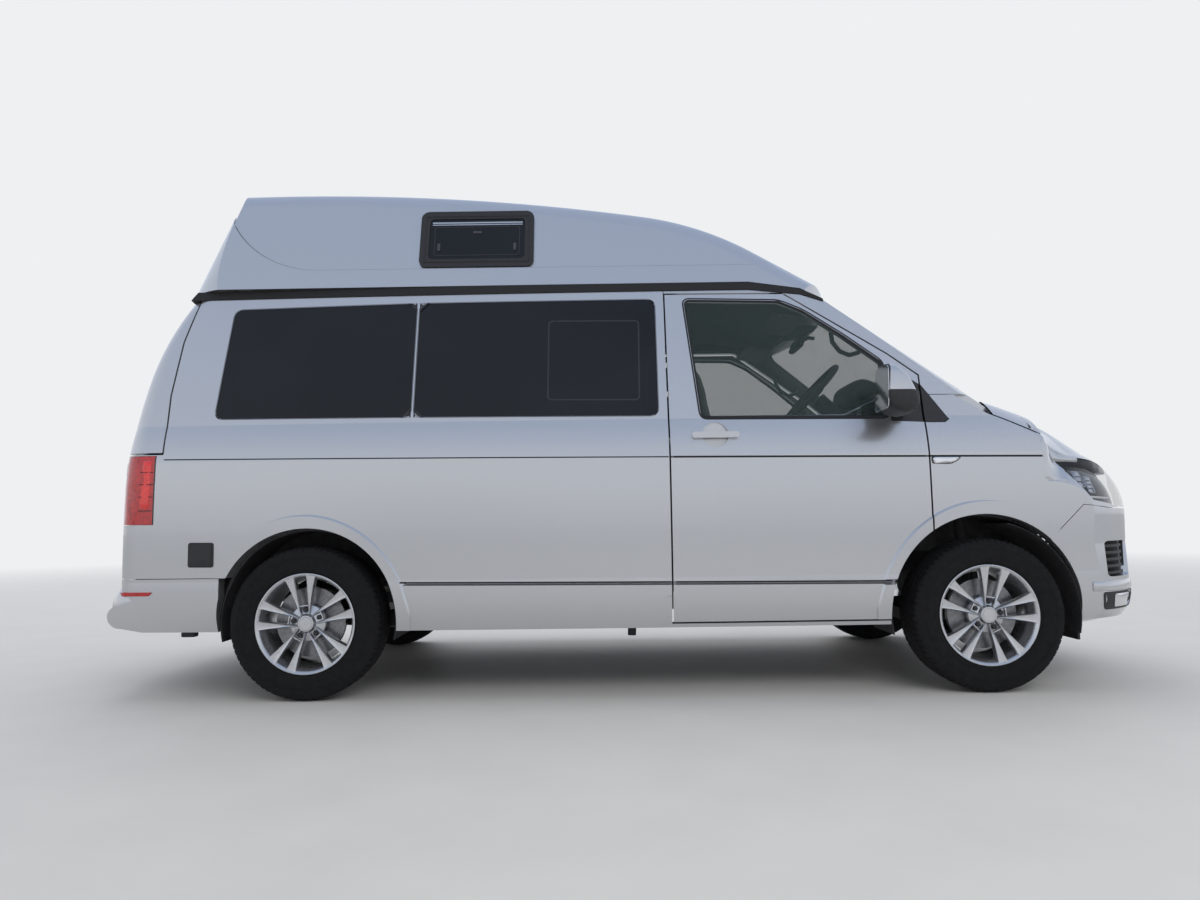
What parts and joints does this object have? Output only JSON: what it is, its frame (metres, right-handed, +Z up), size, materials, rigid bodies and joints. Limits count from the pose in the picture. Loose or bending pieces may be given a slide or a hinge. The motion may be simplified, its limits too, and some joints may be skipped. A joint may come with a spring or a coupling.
{
  "type": "high-top camper van",
  "caption": "High-top camper van with opening cab doors, bonnet and tailgate, steered front wheels and a furnished living space.",
  "frame": {"origin": "on the ground below the middle of the length and width", "axes": "+X towards the nose, +Y to the left side, +Z up"},
  "size_m": [4.9082, 2.296, 2.4507],
  "materials": {
    "paint": "metallic silver",
    "paint_top": "metallic silver on a moulded top",
    "privacy_glass": "dark tint",
    "cab_glass": "clear, slightly green",
    "lamp_clear": "clear lens",
    "lamp_red": "red lens",
    "black_plastic": "fine grain",
    "seal_rubber": "matt",
    "underbody": "dark coating",
    "engine_metal": "rough",
    "exhaust_steel": "dull",
    "tank_plastic": "smooth",
    "cabin_plastic": "soft grain",
    "upholstery": "woven",
    "cabinet": "laminate",
    "tyre_rubber": "matt",
    "alloy": "painted silver"
  },
  "bodies": {
    "body": {"side_panel_right": "paint", "side_panel_left": "paint", "sliding_door": "paint", "side_glass": "privacy_glass", "cab_frame": "paint", "windscreen": "cab_glass", "front_wings": "paint", "front_lamps": "lamp_clear", "front_bumper": "paint", "grilles": "black_plastic", "tail_lamps": "lamp_red", "rear_bumper": "paint", "high_top": "paint_top", "roof_window_frames": "black_plastic", "roof_window_panes": "privacy_glass", "roof_seal": "seal_rubber", "sail_caps": "black_plastic", "floor_pan": "underbody", "chassis_rails": "underbody", "wheel_liners": "underbody", "engine": "engine_metal", "front_suspension": "underbody", "rear_axle": "underbody", "exhaust": "exhaust_steel", "fuel_tank": "tank_plastic", "dashboard": "cabin_plastic", "cab_seats": "upholstery", "bench_seat": "upholstery", "kitchen_unit": "cabinet"},
    "cab_door_right": {"door_right": "paint", "door_glass_right": "cab_glass", "mirror_right": "paint"},
    "cab_door_left": {"door_left": "paint", "door_glass_left": "cab_glass", "mirror_left": "paint"},
    "bonnet_lid": {"bonnet": "paint"},
    "tailgate_lid": {"tailgate": "paint", "tailgate_glass": "privacy_glass"},
    "knuckle_right_body": {"knuckle_right": "underbody"},
    "knuckle_left_body": {"knuckle_left": "underbody"},
    "steering": {"steering_wheel": "black_plastic"},
    "wheel_front_right": {"tyre_front_right": "tyre_rubber", "rim_front_right": "alloy"},
    "wheel_front_left": {"tyre_front_left": "tyre_rubber", "rim_front_left": "alloy"},
    "wheel_rear_right": {"tyre_rear_right": "tyre_rubber", "rim_rear_right": "alloy"},
    "wheel_rear_left": {"tyre_rear_left": "tyre_rubber", "rim_rear_left": "alloy"}
  },
  "joints": [
    {"name": "cab_door_right_hinge", "type": "hinge", "parent": "body", "child": "cab_door_right", "pos_m": [1.302, -0.941, 0.742], "axis": [0, 0.0698, 0.9976], "range_deg": [0, 65]},
    {"name": "cab_door_left_hinge", "type": "hinge", "parent": "body", "child": "cab_door_left", "pos_m": [1.302, 0.941, 0.742], "axis": [0, 0.0698, -0.9976], "range_deg": [0, 65]},
    {"name": "bonnet_hinge", "type": "hinge", "parent": "body", "child": "bonnet_lid", "pos_m": [1.55, 0, 1.3], "axis": [0, -1, 0], "range_deg": [0, 50]},
    {"name": "tailgate_hinge", "type": "hinge", "parent": "body", "child": "tailgate_lid", "pos_m": [-2.185, 0, 1.85], "axis": [0, 1, 0], "range_deg": [0, 85]},
    {"name": "steer_right", "type": "hinge", "parent": "body", "child": "knuckle_right_body", "pos_m": [1.544, -0.73, 0.335], "axis": [0, 0.2186, 0.9758], "range_deg": [-35, 35]},
    {"name": "steer_left", "type": "hinge", "parent": "body", "child": "knuckle_left_body", "pos_m": [1.544, 0.73, 0.335], "axis": [0, -0.2186, 0.9758], "range_deg": [-35, 35]},
    {"name": "steering_wheel_turn", "type": "hinge", "parent": "body", "child": "steering", "pos_m": [0.925, -0.4, 1.398], "axis": [-0.7345, 0, 0.6786], "range_deg": [-525, 525]},
    {"name": "spin_front_right", "type": "hinge", "parent": "knuckle_right_body", "child": "wheel_front_right", "pos_m": [1.544, -0.814, 0.335], "axis": [0, 1, 0], "continuous": true},
    {"name": "spin_front_left", "type": "hinge", "parent": "knuckle_left_body", "child": "wheel_front_left", "pos_m": [1.544, 0.814, 0.335], "axis": [0, 1, 0], "continuous": true},
    {"name": "spin_rear_right", "type": "hinge", "parent": "body", "child": "wheel_rear_right", "pos_m": [-1.456, -0.814, 0.335], "axis": [0, 1, 0], "continuous": true},
    {"name": "spin_rear_left", "type": "hinge", "parent": "body", "child": "wheel_rear_left", "pos_m": [-1.456, 0.814, 0.335], "axis": [0, 1, 0], "continuous": true}
  ],
  "couplings": [
    {"joint": "steer_left", "follows": "steer_right", "ratio": 1},
    {"joint": "steering_wheel_turn", "follows": "steer_right", "ratio": 15}
  ]
}
